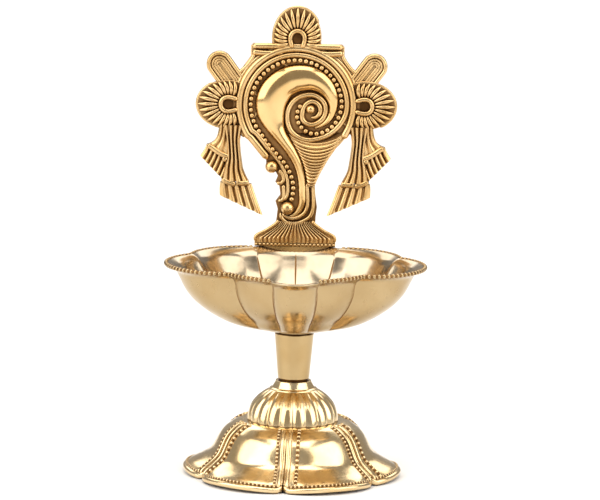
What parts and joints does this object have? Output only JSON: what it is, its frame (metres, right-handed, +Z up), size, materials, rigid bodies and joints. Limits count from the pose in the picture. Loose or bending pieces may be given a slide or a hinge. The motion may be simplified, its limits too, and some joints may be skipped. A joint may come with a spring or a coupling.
{
  "type": "standing oil lamp",
  "caption": "Brass standing oil lamp with a lobed oil bowl, a conch back plate, a tapered stem, a fluted dome and a petalled foot; stem and bowl screw off.",
  "frame": {"origin": "centre of the flat ring that the foot stands on", "axes": "+Z up along the stem, -Y towards the front of the lamp, where the spout is; the back plate faces -Y"},
  "size_m": [0.1022, 0.0883, 0.1792],
  "materials": {
    "base_foot": "polished, with darker grooves",
    "fluted_dome": "polished",
    "centre_rod": "as machined",
    "clamp_washer": "as machined",
    "clamp_nut": "as machined",
    "neck_washer": "darkened brass",
    "stem": "polished",
    "bowl_washer": "darkened brass",
    "oil_bowl": "satin outside, mirror inside",
    "back_plate": "cast relief, dark in the recesses",
    "plate_screws": "as machined"
  },
  "bodies": {
    "base": {"base_foot": "base_foot", "fluted_dome": "fluted_dome", "centre_rod": "centre_rod", "clamp_washer": "clamp_washer", "clamp_nut": "clamp_nut"},
    "neck_washer": {"neck_washer": "neck_washer"},
    "stem": {"stem": "stem"},
    "bowl_washer": {"bowl_washer": "bowl_washer"},
    "bowl": {"oil_bowl": "oil_bowl", "back_plate": "back_plate", "plate_screw_left": "plate_screws", "plate_screw_right": "plate_screws"}
  },
  "joints": [
    {"name": "neck_lift", "type": "slide", "parent": "base", "child": "neck_washer", "axis": [0, 0, 1], "range_m": [0, 0.00725]},
    {"name": "stem_turn", "type": "hinge", "parent": "neck_washer", "child": "stem", "pos_m": [0, 0, 0.0383], "axis": [0, 0, 1], "range_deg": [0, 2610]},
    {"name": "bowl_lift", "type": "slide", "parent": "stem", "child": "bowl_washer", "axis": [0, 0, 1], "range_m": [0, 0.00525]},
    {"name": "bowl_turn", "type": "hinge", "parent": "bowl_washer", "child": "bowl", "pos_m": [0, 0, 0.0567], "axis": [0, 0, 1], "range_deg": [0, 1890]}
  ],
  "couplings": [
    {"joint": "stem_turn", "follows": "neck_lift", "rad_per_m": 6283.2},
    {"joint": "bowl_turn", "follows": "bowl_lift", "rad_per_m": 6283.2}
  ]
}
